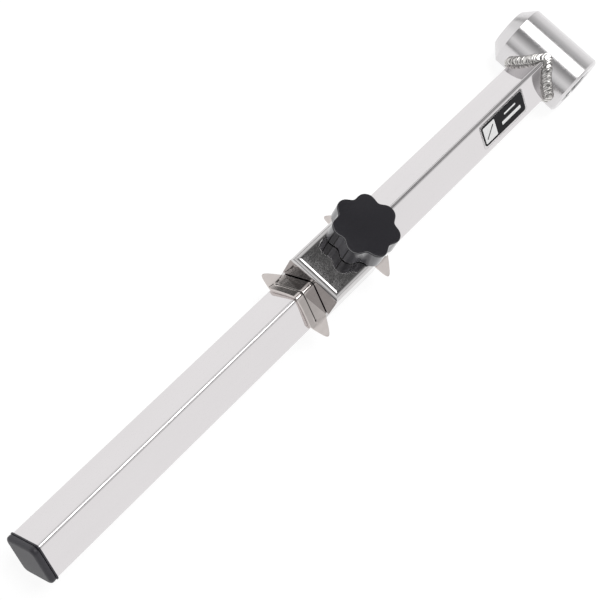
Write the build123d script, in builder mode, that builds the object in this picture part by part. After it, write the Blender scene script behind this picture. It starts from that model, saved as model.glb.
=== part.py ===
from build123d import *
from math import cos, degrees, pi, radians, sqrt, tan
import os

# Derailleur hanger alignment gauge. Millimetres, +Z up.
# The origin is the centre of the pivot barrel's nose face, on the pivot axis. The barrel runs along +Y,
# the square arm along +X with one corner up, and the knob side is +Z.

# Pivot barrel
barrel_radius = 18.0
barrel_length = 50.0
nose_chamfer = 6.5
drive_chamfer = 1.2
nose_bore_radius = 8.0
chamber_radius = 11.0

# Arm tube, a square section standing on its corner
arm_setback = 21.0
arm_end_x = 400.0
tube_side = 20.0
tube_wall = 1.2
tube_corner = 1.5

# Weld between arm and barrel
weld_leg = 3.3
joint_gap = 0.05

# Captive spindle and its guides
spindle_travel = 12.0
tip_radius = 5.0
tip_length = 11.0
tip_setback = 0.6
tip_chamfer = 0.9
shaft_radius = 6.0
collar_radius = 10.2
collar_length = 4.6
shank_radius = 7.0
shank_setback = 0.6
socket_flats = 6.0
socket_depth = 8.0
running_gap = 0.05
stop_gap = 0.3
bush_setback = 0.3
bush_end_gap = 2.1
ring_length = 4.0
clip_length = 1.0
clip_rim = 1.8
clip_groove = 0.9
clip_mouth = 50.0
plug_length = 8.0
plug_bore_gap = 0.4
cord_radius = 0.9
cord_gap = 0.02

# End cap
cap_rim = 0.7
cap_corner = 2.4
cap_flange = 4.2
cap_bevel = 1.2
cap_plug_length = 14.0
cap_plug_wall = 1.6
cap_plug_gap = 0.5
cap_rib_length = 1.0
cap_rib_pitch = 3.4
cap_rib_count = 3
cap_rib_gap = 0.05

# Label on the upper right face
label_setback = 20.5
label_length = 38.0
label_margin = 4.1
label_corner = 1.6
label_across = -0.5
film_border = 1.2
film_thickness = 0.08
print_thickness = 0.05
panel_length = 10.6
panel_inset = 1.1
panel_corner = 0.6

# Slider strap, one folded sheet
strap_sheet = 1.5
strap_side_gap = 0.3
strap_face_gap = 0.3
strap_headroom = 5.2
strap_front_x = 217.4
plate_length = 49.0
wall_length = 38.0
strap_bend = 2.5
flange_bend = 1.5
flange_gap = 0.35
wall_step_z = 8.0
lip_mouth = 4.0

# Clamp shoe, a folded sheet over the arm's ridge
shoe_sheet = 1.0
shoe_ridge_gap = 0.25
shoe_ridge_bend = 2.25
shoe_slope = 42.0
shoe_wall_gap = 0.4
shoe_lift = 0.5
ear_gap = 0.4
ear_root = 11.6
ear_slope = 33.0
ear_bend_out = 1.2
ear_out = 6.7
ear_tip_x = 4.7
ear_tip_radius = 1.8

# Clamp screw, its nut and its swivel cup
screw_inset = 14.1
stud_radius = 3.0
nut_flange_radius = 7.0
nut_flange_height = 3.0
nut_pilot_radius = 5.0
nut_below_plate = 0.6
cup_radius = 4.5
cup_gap = 0.9
cup_bore_depth = 1.6
swivel_radius = 2.0
swivel_shoulder = 0.35

# Star knob
knob_lobes = 7
knob_turn = 14.5
knob_radius = 17.3
knob_lobe_depth = 2.4
knob_gap = 0.4
knob_roof = 2.8
knob_top_bevel = 0.7
knob_recess_side_gap = 2.0
knob_recess_gap = 0.8
insert_radius = 5.0
insert_height = 4.4

os.makedirs("parts", exist_ok=True)

# Arm and label, worked out from the sizes above
tube_half = tube_side / 2
ridge_z = (tube_half - tube_corner) * sqrt(2) + tube_corner
arm_y = barrel_length - arm_setback
label_width = tube_side - 2 * label_margin
label_centre_x = barrel_radius + label_setback + label_length / 2

# Spindle, from the drive end to the nose
tip_rear_y = tip_setback + tip_length
shank_rear_y = barrel_length - shank_setback
plug_front_y = barrel_length - bush_setback - plug_length
clip_front_y = plug_front_y - stop_gap - clip_length
ring_front_y = clip_front_y - running_gap - ring_length
collar_front_y = ring_front_y - running_gap - collar_length
chamber_front_y = collar_front_y - spindle_travel - stop_gap

# Slider, from the arm outwards
strap_inner = ridge_z + strap_side_gap
strap_outer = strap_inner + strap_sheet
strap_top_z = ridge_z + strap_headroom + strap_sheet
strap_rear_x = strap_front_x - plate_length
wall_rear_x = strap_front_x - wall_length
shoe_foot_z = ridge_z + shoe_ridge_gap
shoe_centre_x = (strap_front_x + wall_rear_x) / 2
ear_inner = wall_length / 2 + ear_gap
shoe_half_length = ear_inner + ear_root
shoe_half_width = strap_inner - shoe_wall_gap
ear_start = shoe_half_width + ear_bend_out
ear_span = strap_outer + ear_out

# Clamp screw and knob, from the plate up and down
screw_x = strap_rear_x + screw_inset
nut_bottom_z = strap_top_z - strap_sheet - nut_below_plate
nut_top_z = strap_top_z + nut_flange_height
cup_top_z = nut_bottom_z - shoe_lift - cup_gap
knob_bottom_z = strap_top_z + knob_gap
recess_top_z = nut_top_z + knob_recess_gap
insert_top_z = recess_top_z + insert_height
knob_top_z = insert_top_z + knob_roof


def arm_plane(x):
    """A plane across the arm: local x runs along +Y, local y along +Z, its normal along +X."""
    return Plane(origin=(x, arm_y, 0), x_dir=(0, 1, 0), z_dir=(1, 0, 0))


def level_plane(x, z):
    """A level plane on the arm's middle line at height z."""
    return Plane(origin=(x, arm_y, z))


def turned_plane(y):
    """A plane across the pivot axis with its normal along +Y."""
    return Plane(origin=(0, y, 0), x_dir=(-1, 0, 0), z_dir=(0, 1, 0))


def rounded_square(side, radius):
    """A square standing on its corner, with rounded corners."""
    RectangleRounded(side, side, radius, rotation=45)


# Pivot barrel: turned round bar with a chamfered nose, a nose bore and a wider chamber behind it
with BuildPart() as pivot_barrel:
    with BuildSketch(turned_plane(0)):
        Circle(barrel_radius)
    extrude(amount=barrel_length)
    chamfer(pivot_barrel.edges().group_by(Axis.Y)[0], nose_chamfer)
    chamfer(pivot_barrel.edges().group_by(Axis.Y)[-1], drive_chamfer)
    with BuildSketch(turned_plane(0)):
        Circle(nose_bore_radius)
    extrude(amount=barrel_length, mode=Mode.SUBTRACT)
    with BuildSketch(turned_plane(chamber_front_y)):
        Circle(chamber_radius)
    extrude(amount=barrel_length - chamber_front_y, mode=Mode.SUBTRACT)

# Arm tube: square tube whose end is cut to sit on the barrel
with BuildPart() as arm_tube:
    with BuildSketch(arm_plane(0)):
        rounded_square(tube_side, tube_corner)
        with BuildSketch(mode=Mode.SUBTRACT):
            rounded_square(tube_side - 2 * tube_wall, tube_corner - tube_wall)
    extrude(amount=arm_end_x)
    with BuildSketch(turned_plane(0)):
        Circle(barrel_radius + joint_gap)
    extrude(amount=barrel_length, mode=Mode.SUBTRACT)

# Weld bead: a band round the arm where it meets the barrel
with BuildPart() as weld_bead:
    with BuildSketch(arm_plane(0)):
        rounded_square(tube_side + 2 * weld_leg, tube_corner + weld_leg)
        with BuildSketch(mode=Mode.SUBTRACT):
            rounded_square(tube_side + 2 * joint_gap, tube_corner)
    extrude(amount=barrel_radius + weld_leg)
    with BuildSketch(turned_plane(0)):
        Circle(barrel_radius + weld_leg)
    extrude(amount=barrel_length, mode=Mode.INTERSECT)
    with BuildSketch(turned_plane(0)):
        Circle(barrel_radius)
    extrude(amount=barrel_length, mode=Mode.SUBTRACT)

# Nose bush: bronze sleeve that guides the spindle at the nose
with BuildPart() as nose_bush:
    with BuildSketch(turned_plane(bush_setback)):
        Circle(nose_bore_radius)
        Circle(shaft_radius + running_gap, mode=Mode.SUBTRACT)
    extrude(amount=chamber_front_y - bush_end_gap - bush_setback)

# Spindle: threaded tip, shaft, grooved collar and a shank with a hex socket
with BuildPart() as spindle:
    with BuildSketch(turned_plane(tip_setback)):
        Circle(tip_radius)
    extrude(amount=tip_length)
    chamfer(spindle.edges().group_by(Axis.Y)[0], tip_chamfer)
    with BuildSketch(turned_plane(tip_rear_y)):
        Circle(shaft_radius)
    extrude(amount=collar_front_y - tip_rear_y)
    with BuildSketch(turned_plane(collar_front_y)):
        Circle(collar_radius)
    extrude(amount=collar_length)
    with BuildSketch(turned_plane(collar_front_y + collar_length)):
        Circle(shank_radius)
    extrude(amount=shank_rear_y - collar_front_y - collar_length)
    chamfer(spindle.edges().group_by(Axis.Y)[-1], tip_chamfer)
    with BuildSketch(turned_plane(shank_rear_y)):
        RegularPolygon(socket_flats / 2, 6, major_radius=False)
    extrude(amount=-socket_depth, mode=Mode.SUBTRACT)
    with BuildSketch(turned_plane(collar_front_y + collar_length / 2 - cord_radius)):
        Circle(collar_radius + cord_radius)
        Circle(chamber_radius - running_gap - 2 * cord_radius - cord_gap, mode=Mode.SUBTRACT)
    extrude(amount=2 * cord_radius, mode=Mode.SUBTRACT)
    with BuildSketch(turned_plane(clip_front_y)):
        Circle(shank_radius + clip_groove)
        Circle(shank_radius - clip_groove, mode=Mode.SUBTRACT)
    extrude(amount=clip_length, mode=Mode.SUBTRACT)

# Friction ring: rubber cord ring in the collar's groove, which holds the spindle where it is set
with BuildPart() as friction_ring:
    ring_plane = Plane(origin=(0, collar_front_y + collar_length / 2, 0), x_dir=(1, 0, 0), z_dir=(0, 0, 1))
    with BuildSketch(ring_plane):
        with Locations((chamber_radius - running_gap - cord_radius, 0)):
            Circle(cord_radius)
    revolve(axis=Axis.Y)

# Guide ring: bronze ring behind the collar that slides in the chamber and doesn't turn
with BuildPart() as guide_ring:
    with BuildSketch(turned_plane(ring_front_y)):
        Circle(chamber_radius - running_gap)
        Circle(shank_radius + running_gap, mode=Mode.SUBTRACT)
    extrude(amount=ring_length)

# Spindle clip: open spring ring in the shank's groove
with BuildPart() as spindle_clip:
    with BuildSketch(turned_plane(clip_front_y)):
        Circle(shank_radius + clip_rim)
        Circle(shank_radius - clip_groove, mode=Mode.SUBTRACT)
        with BuildLine():
            mouth_reach = 2 * shank_radius
            mouth_line = PolarLine((0, 0), mouth_reach, 90 - clip_mouth / 2)
            Line(mouth_line @ 1, (-(mouth_line @ 1).X, (mouth_line @ 1).Y))
            PolarLine((0, 0), mouth_reach, 90 + clip_mouth / 2)
        make_face(mode=Mode.SUBTRACT)
    extrude(amount=clip_length)

# Drive plug: steel ring pressed into the open end of the chamber
with BuildPart() as drive_plug:
    with BuildSketch(turned_plane(plug_front_y)):
        Circle(chamber_radius)
        Circle(shank_radius + plug_bore_gap, mode=Mode.SUBTRACT)
    extrude(amount=plug_length)

# End cap: moulded flange with a ribbed hollow plug that grips inside the tube
cap_side = tube_side + 2 * cap_rim
cap_plug_side = tube_side - 2 * tube_wall - 2 * cap_plug_gap
with BuildPart() as end_cap:
    with BuildSketch(arm_plane(arm_end_x)):
        rounded_square(cap_side, cap_corner)
    extrude(amount=cap_flange)
    chamfer(end_cap.faces().sort_by(Axis.X)[-1].edges(), cap_bevel)
    with BuildSketch(arm_plane(arm_end_x)):
        rounded_square(cap_plug_side, tube_corner - tube_wall)
        with BuildSketch(mode=Mode.SUBTRACT):
            rounded_square(cap_plug_side - 2 * cap_plug_wall, tube_corner - tube_wall)
    extrude(amount=-cap_plug_length)
    for rib in range(cap_rib_count):
        with BuildSketch(arm_plane(arm_end_x - cap_plug_length + rib * cap_rib_pitch)):
            rounded_square(tube_side - 2 * tube_wall - 2 * cap_rib_gap, tube_corner - tube_wall)
            with BuildSketch(mode=Mode.SUBTRACT):
                rounded_square(cap_plug_side, tube_corner - tube_wall)
        extrude(amount=cap_rib_length)


def face_plane(height):
    """A plane on the arm's upper right face: local x runs toward the cap, local y down the face."""
    side = (tube_half + height) / sqrt(2)
    return Plane(origin=(label_centre_x, arm_y + side, side), x_dir=(1, 0, 0), z_dir=(0, 1, 1))


# Label: a clear film with a dark printed field and a light panel at its cap end
panel_x = (label_length - panel_length) / 2 - panel_inset
panel_width = label_width - 2 * panel_inset
with BuildPart() as label_film:
    with BuildSketch(face_plane(0)):
        with Locations((0, label_across)):
            RectangleRounded(label_length + 2 * film_border, label_width + 2 * film_border, label_corner)
    extrude(amount=film_thickness)

with BuildPart() as label_print:
    with BuildSketch(face_plane(film_thickness)):
        with Locations((0, label_across)):
            RectangleRounded(label_length, label_width, label_corner)
        with Locations((panel_x, label_across)):
            RectangleRounded(panel_length, panel_width, panel_corner, mode=Mode.SUBTRACT)
    extrude(amount=print_thickness)

with BuildPart() as label_panel:
    with BuildSketch(face_plane(film_thickness)):
        with Locations((panel_x, label_across)):
            RectangleRounded(panel_length, panel_width, panel_corner)
    extrude(amount=print_thickness)


def hood_outline(half, face_distance, top, bend):
    """The strap's section: a box over the arm whose foot follows the arm's lower faces."""
    foot_z = half - face_distance * sqrt(2)
    with BuildLine() as outline:
        FilletPolyline((0, top), (half, top), (half, foot_z), radius=bend)
        Line((half, foot_z), (0, foot_z - half))
        mirror(about=Plane.YZ)
    return outline.edges()


def lid_outline(inset, bend):
    """The strap seen from the side, open below: its top with both ends bent down."""
    foot_z = -strap_top_z
    rear_x = strap_rear_x + inset
    front_x = strap_front_x - inset
    with BuildLine() as outline:
        FilletPolyline(
            (rear_x, foot_z),
            (rear_x, strap_top_z - inset),
            (front_x, strap_top_z - inset),
            (front_x, foot_z),
            radius=bend,
        )
        Line((front_x, foot_z), (rear_x, foot_z))
    return outline.edges()


def shoe_line(rise, bend):
    """The shoe's bend line seen along the arm, from ear tip to ear tip, raised by a distance off the sheet's foot."""
    slope = tan(radians(shoe_slope))
    apex_z = shoe_foot_z + rise + bend * (1 / cos(radians(shoe_slope)) - 1)
    ear_z = apex_z - ear_start * slope
    tip_z = ear_z - (ear_span - ear_start) * tan(radians(ear_slope))
    with BuildLine() as outline:
        FilletPolyline((-ear_start, ear_z), (0, apex_z), (ear_start, ear_z), radius=bend)
        Line((ear_start, ear_z), (ear_span, tip_z))
        Line((-ear_start, ear_z), (-ear_span, tip_z))
    return outline.edges(), tip_z


# Slider strap: one folded sheet with a plate, two notched end flanges, two side walls and two lips below the arm
side_plane = Plane(origin=(0, arm_y, 0), x_dir=(1, 0, 0), z_dir=(0, -1, 0))
strap_length = strap_front_x - strap_rear_x
strap_foot = tube_half + strap_face_gap
strap_hollow_top = strap_top_z - strap_sheet
with BuildPart() as strap_hollow:
    with BuildSketch(arm_plane(strap_rear_x)):
        make_face(hood_outline(strap_inner, strap_foot, strap_hollow_top, strap_bend))
    extrude(amount=strap_length)
    with BuildSketch(side_plane):
        make_face(lid_outline(strap_sheet, flange_bend))
    extrude(amount=strap_outer, both=True, mode=Mode.INTERSECT)

with BuildPart() as slider_strap:
    with BuildSketch(arm_plane(strap_rear_x)):
        make_face(hood_outline(strap_outer, strap_foot + strap_sheet, strap_top_z, strap_bend + strap_sheet))
    extrude(amount=strap_length)
    with BuildSketch(side_plane):
        make_face(lid_outline(0, flange_bend + strap_sheet))
    extrude(amount=strap_outer, both=True, mode=Mode.INTERSECT)
    add(strap_hollow.part, mode=Mode.SUBTRACT)
    with BuildSketch(arm_plane(strap_rear_x)):
        make_face(hood_outline(strap_inner, strap_foot, strap_hollow_top, strap_bend))
        notch_line, notch_foot_z = shoe_line(shoe_sheet + shoe_lift + flange_gap, shoe_ridge_bend + shoe_sheet)
        with BuildLine():
            add(notch_line)
            Polyline(
                (-ear_span, notch_foot_z), (-ear_span, strap_top_z), (ear_span, strap_top_z), (ear_span, notch_foot_z)
            )
        make_face(mode=Mode.SUBTRACT)
    extrude(amount=strap_length, mode=Mode.SUBTRACT)
    with BuildSketch(side_plane):
        with Locations((wall_rear_x, wall_step_z)):
            Rectangle(strap_length, strap_length, align=(Align.MAX, Align.MAX))
    extrude(amount=strap_outer, both=True, mode=Mode.SUBTRACT)
    with BuildSketch(level_plane(strap_rear_x, 0)):
        Rectangle(2 * strap_length, 2 * lip_mouth)
    extrude(amount=-strap_top_z, mode=Mode.SUBTRACT)
    with BuildSketch(level_plane(screw_x, strap_top_z)):
        Circle(nut_pilot_radius)
    extrude(amount=-strap_sheet, mode=Mode.SUBTRACT)


# Clamp shoe: a folded sheet over the arm's ridge, with four pointed ears outside the strap's walls
with BuildPart() as clamp_shoe:
    with BuildSketch(arm_plane(shoe_centre_x - shoe_half_length)):
        lower_line, lower_tip_z = shoe_line(0, shoe_ridge_bend)
        upper_line, upper_tip_z = shoe_line(shoe_sheet, shoe_ridge_bend + shoe_sheet)
        with BuildLine():
            add(lower_line)
            add(upper_line)
            Line((ear_span, lower_tip_z), (ear_span, upper_tip_z))
            Line((-ear_span, lower_tip_z), (-ear_span, upper_tip_z))
        make_face()
    extrude(amount=2 * shoe_half_length)
    with BuildSketch(level_plane(shoe_centre_x, -strap_top_z)):
        Rectangle(2 * shoe_half_length, 2 * shoe_half_width)
        with BuildLine():
            ear_edge = FilletPolyline(
                (ear_inner, shoe_half_width),
                (ear_inner + ear_tip_x, ear_span + ear_tip_radius),
                (shoe_half_length, shoe_half_width),
                radius=ear_tip_radius,
            )
            Line(ear_edge @ 1, ear_edge @ 0)
        make_face()
        mirror(about=Plane.XZ)
        mirror(about=Plane.YZ)
    extrude(amount=2 * strap_top_z, mode=Mode.INTERSECT)

# Swivel cup: a collar welded to the shoe's ridge, which holds the screw's turned tip
with BuildPart() as swivel_cup:
    with BuildSketch(level_plane(screw_x, cup_top_z)):
        Circle(cup_radius)
    extrude(amount=-cup_radius)
    with BuildSketch(arm_plane(screw_x)):
        lower_line, lower_tip_z = shoe_line(shoe_sheet, shoe_ridge_bend + shoe_sheet)
        with BuildLine():
            add(lower_line)
            Polyline(
                (-ear_span, lower_tip_z), (-ear_span, -strap_top_z), (ear_span, -strap_top_z), (ear_span, lower_tip_z)
            )
        make_face()
    extrude(amount=cup_radius, both=True, mode=Mode.SUBTRACT)
    with BuildSketch(level_plane(screw_x, cup_top_z)):
        Circle(swivel_radius + running_gap)
    extrude(amount=-cup_bore_depth, mode=Mode.SUBTRACT)

# Clamp nut: flanged round nut pressed and welded into the plate
with BuildPart() as clamp_nut:
    with BuildSketch(level_plane(screw_x, strap_top_z)):
        Circle(nut_flange_radius)
    extrude(amount=nut_flange_height)
    with BuildSketch(level_plane(screw_x, strap_top_z)):
        Circle(nut_pilot_radius)
    extrude(amount=nut_bottom_z - strap_top_z)
    with BuildSketch(level_plane(screw_x, nut_top_z)):
        Circle(stud_radius + running_gap)
    extrude(amount=nut_bottom_z - nut_top_z, mode=Mode.SUBTRACT)


def star_outline(crest, valley, lobes):
    """A smooth closed star: the radius swings between valley and crest once for each lobe."""
    step = pi / lobes
    points = []
    for index in range(2 * lobes):
        radius = crest if index % 2 == 0 else valley
        points.append(Vector(radius, 0).rotate(Axis.Z, knob_turn + degrees(index * step)))
    with BuildLine() as outline:
        Spline(*points, periodic=True)
    return outline.edges()


# Knob: moulded seven-lobed star with a recess below that clears the nut
with BuildPart() as knob:
    with BuildSketch(level_plane(screw_x, knob_bottom_z)):
        make_face(star_outline(knob_radius, knob_radius - knob_lobe_depth, knob_lobes))
    extrude(amount=knob_top_z - knob_bottom_z)
    chamfer(knob.faces().sort_by(Axis.Z)[-1].edges(), knob_top_bevel)
    with BuildSketch(level_plane(screw_x, knob_bottom_z)):
        Circle(nut_flange_radius + knob_recess_side_gap)
    extrude(amount=recess_top_z - knob_bottom_z, mode=Mode.SUBTRACT)
    with BuildSketch(level_plane(screw_x, recess_top_z)):
        Circle(insert_radius)
    extrude(amount=insert_height, mode=Mode.SUBTRACT)

# Knob insert: brass boss moulded into the knob round the stud's head
with BuildPart() as knob_insert:
    with BuildSketch(level_plane(screw_x, recess_top_z)):
        Circle(insert_radius)
        Circle(stud_radius, mode=Mode.SUBTRACT)
    extrude(amount=insert_height)

# Clamp stud: screw fixed in the knob, with a turned tip that swivels in the cup
swivel_bottom_z = cup_top_z - cup_bore_depth + running_gap
with BuildPart() as clamp_stud:
    with BuildSketch(level_plane(screw_x, cup_top_z + swivel_shoulder)):
        Circle(stud_radius)
    extrude(amount=insert_top_z - cup_top_z - swivel_shoulder)
    with BuildSketch(level_plane(screw_x, swivel_bottom_z)):
        Circle(swivel_radius)
    extrude(amount=cup_top_z + swivel_shoulder - swivel_bottom_z)

pieces = {
    "pivot_barrel": pivot_barrel,
    "arm_tube": arm_tube,
    "weld_bead": weld_bead,
    "nose_bush": nose_bush,
    "spindle": spindle,
    "friction_ring": friction_ring,
    "guide_ring": guide_ring,
    "spindle_clip": spindle_clip,
    "drive_plug": drive_plug,
    "end_cap": end_cap,
    "label_film": label_film,
    "label_print": label_print,
    "label_panel": label_panel,
    "slider_strap": slider_strap,
    "clamp_shoe": clamp_shoe,
    "swivel_cup": swivel_cup,
    "clamp_nut": clamp_nut,
    "knob": knob,
    "knob_insert": knob_insert,
    "clamp_stud": clamp_stud,
}
for name, piece in pieces.items():
    piece.part.label = name
    export_step(piece.part, f"parts/{name}.step")
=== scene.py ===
from math import radians

import bmesh
import bpy
import numpy as np
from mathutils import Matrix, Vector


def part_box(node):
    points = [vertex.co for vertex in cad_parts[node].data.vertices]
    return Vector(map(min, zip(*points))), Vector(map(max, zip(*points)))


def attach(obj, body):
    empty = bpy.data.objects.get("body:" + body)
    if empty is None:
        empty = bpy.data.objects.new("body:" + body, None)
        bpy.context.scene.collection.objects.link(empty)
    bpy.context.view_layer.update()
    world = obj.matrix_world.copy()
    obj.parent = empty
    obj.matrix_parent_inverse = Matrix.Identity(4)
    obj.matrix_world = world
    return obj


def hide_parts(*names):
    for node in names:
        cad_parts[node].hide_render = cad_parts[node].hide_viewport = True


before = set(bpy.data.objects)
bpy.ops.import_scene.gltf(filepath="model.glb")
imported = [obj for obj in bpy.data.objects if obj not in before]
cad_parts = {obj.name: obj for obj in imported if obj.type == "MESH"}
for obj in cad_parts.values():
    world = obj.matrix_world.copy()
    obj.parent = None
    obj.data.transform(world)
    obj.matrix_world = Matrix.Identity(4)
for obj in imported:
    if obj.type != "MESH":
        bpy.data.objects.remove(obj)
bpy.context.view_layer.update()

# Derailleur hanger alignment gauge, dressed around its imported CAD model. Lengths are in millimetres,
# in the frame of the CAD model, and MM turns them to Blender's metres.
MM = 0.001
TAU = 2 * np.pi


def low_high(node, axis):
    """A node's lowest and highest place along an axis, 0 to 2, in millimetres."""
    return tuple(corner[axis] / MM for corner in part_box(node))


# Arm and barrel
ARM_Y = 29.0
TUBE_SIDE = 20.0
TUBE_CORNER = 1.5
TUBE_WALL = 1.2
RIDGE_Z = low_high("arm_tube", 2)[1]
ARM_END = low_high("arm_tube", 0)[1]
FACE_REACH = TUBE_SIDE / 2 / np.sqrt(2)
BARREL_RADIUS = 18.0
BARREL_LENGTH = 50.0
NOSE_CHAMFER = 6.5
DRIVE_CHAMFER = 1.2
NOSE_BORE = 8.0
CHAMBER_BORE = 11.0
CHAMBER_FRONT = 19.4
# The tube's end and the weld's root stand this far off the barrel, so that no two faces lie in one place
JOINT_GAP = 0.05

# Weld bead. Its section is an arc over these degrees, about a point WELD_REACH off both surfaces
WELD_REACH = 0.7
WELD_ROLL = 2.65
WELD_ARC = (-18.0, 108.0)
RIPPLE_PITCH = 1.6
RIPPLE_STEPS = 12
RIPPLE_HEIGHT = 0.34
RIPPLE_POWER = 2.4
RIPPLE_FALL = 0.3
# Waves along the seam, as (height, turn in radians a millimetre, start in radians)
WELD_SWELL = ((0.10, 0.61, 2.0), (0.07, 2.3, 0.0))
RIPPLE_WANDER = ((0.22, 0.83, 0.0), (0.16, 1.9, 1.0))
# Each ripple bows along the seam as a circle of BOW_RADIUS, laid on a roll of BOW_ROLL
BOW_RADIUS = 2.6
BOW_ROLL = 2.3375
# The roll is lower over the tube's ridge and keel
SADDLE_DEPTH = 0.42
SADDLE_WIDTH = 2.4
# Painted shade, full in a valley and none where a ripple's scale is over 0.6, and a band of dark heat tint
# along each toe
VALLEY_SHADE = 1.35
VALLEY_FADE = 2.2
TOE_SHADE = 0.6
TOE_WIDTH = 0.22

# Spindle, with its places along the pivot axis
TIP_RADIUS = 5.0
TIP_REAR = 11.6
TIP_CHAMFER = 0.9
THREAD_PITCH = 1.0
THREAD_DEPTH = 0.61
THREAD_RUNOUT = 0.8
THREAD_GAP = 0.3
SHAFT_RADIUS = 6.0
COLLAR_FRONT = 31.7
COLLAR_LENGTH = 4.6
COLLAR_RADIUS = 10.2
COLLAR_GROOVE = 9.13
RING_CORD = 0.9
SHANK_RADIUS = 6.9
CLIP_FRONT = 40.4
CLIP_LENGTH = 1.0
CLIP_GROOVE = 0.9
SOCKET_FLATS = 6.0
SOCKET_DEPTH = 8.0

# End cap
CAP_SIDE = 21.4
CAP_CORNER = 3.0
CAP_FOOT, CAP_FACE = low_high("end_cap", 0)
CAP_ROUND = 1.6
CAP_PLUG_SIDE = 16.6
CAP_PLUG_WALL = 1.6
CAP_PLUG_CORNER = 0.4
CAP_BORE_CORNER = 0.3
CAP_RIB_SIDE = 17.5
CAP_RIB_PITCH = 3.4
CAP_RIB_START = 0.1
CAP_RIB_STEPS = (0, 0.3, 0.9, 1.0)
CAP_RIBS = 3
CAP_NECK_SIDE = CAP_SIDE - 0.3
CAP_NECK_CORNER = 1.8
CAP_GROOVE_SIDE = CAP_SIDE - 1.3
CAP_GROOVE_X = 1.1
CAP_GROOVE_LENGTH = 0.6

# Clamp shoe, with slopes in degrees
SHOE_SHEET = 1.0
SHOE_SLOPE = 42.0
SHOE_BEND = 1.8
# The fold's tight bend stands higher than the wide bend of the solid that it replaces
SHOE_TOP = low_high("clamp_shoe", 2)[1] + 0.33
SHOE_REAR, SHOE_FRONT = low_high("clamp_shoe", 0)
SHOE_HALF_WIDTH = 13.42
SHOE_LIP = 0.5
LIP_WIDTH = 3.6
LIP_LENGTH = 3.5
EAR_BEND_Y = 14.62
EAR_SLOPE = 33.0
EAR_ROOT = 11.6
EAR_TIP = 6.9
EAR_HEIGHT = 11.6
EAR_SHARPNESS = 0.25
# A scored line crosses each end from edge to edge, with a pit on the ridge and one at each of its two ends
SCORE_INSET = 4.2
SCORE_DEPTH = 0.05
SCORE_WIDTH = 0.2
# Painted shade along each scored line is this wide
SCORE_SHADE_WIDTH = 0.36
SCORE_REACH = 12.9
PIT_DEPTH = 0.3
PIT_LENGTH = 0.4
PIT_ACROSS = 12.75
PIT_WIDTHS = (0.7, 0.5)
# Painted shade in the pits, as a strength and a length along the arm
PIT_SHADE = 1.5
PIT_SHADE_LENGTH = 0.5
# The skirt under each end starts at SKIRT_START from the edge, is full to SKIRT_FULL and ends at SKIRT_END
SKIRT_START = 0.1
SKIRT_FULL = 1.0
SKIRT_END = 1.6
SKIRT_GAP = 0.12
SKIRT_REACH = 13.2
SKIRT_FLAT = 12.5

# Knob
SCREW_X = 182.5
KNOB_BOTTOM, KNOB_TOP = low_high("knob", 2)
INSERT_BOTTOM, INSERT_TOP = low_high("knob_insert", 2)
INSERT_RADIUS = 5.0
KNOB_CREST = 17.8
KNOB_VALLEY = 14.95
KNOB_LOBES = 7
KNOB_TURN = 14.5
KNOB_BROADEN = 0.12
KNOB_ROUND = 0.45
KNOB_FOOT_ROUND = 0.4
KNOB_FOOT_SHARE = 0.8
KNOB_GUARD = 0.2
KNOB_RECESS = 9.0
RECESS_CHAMFER = 0.3
# A face of the knob counts as its side when its normal's part along Z is less than this
SIDE_NORMAL = 0.3
# Painted dark reflections in lines up the knob's side, as (angle and half width in degrees, darkness)
KNOB_PAINTED_REFLECTION_LINES = (
    (330.5, 1.1, 1.0),
    (335.0, 4.0, 0.6),
    (339.5, 1.1, 1.0),
    (8.0, 1.2, 1.0),
    (18.0, 9.0, 0.4),
    (45.0, 18.0, 0.25),
)

# Label: plain bars as (name, (place along X, place down the face), (length, width), turn in degrees)
LIGHT_BARS = (
    ("label_bar_0", (50.8, 1.2), (17.5, 1.9), 0.0),
    ("label_bar_1", (50.8, -2.7), (10.5, 1.0), 0.0),
)
DARK_BARS = (("label_panel_bar", (70.1, -0.5), (9.0, 0.8), 38.0),)
BAR_CORNER = 0.3
BAR_HEIGHT = 0.13
BAR_THICKNESS = 0.02
BAR_EDGE = 0.03


# Meshes
# Points nearer to each other than this, in metres, are merged
MERGE_DISTANCE = 1e-7


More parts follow.
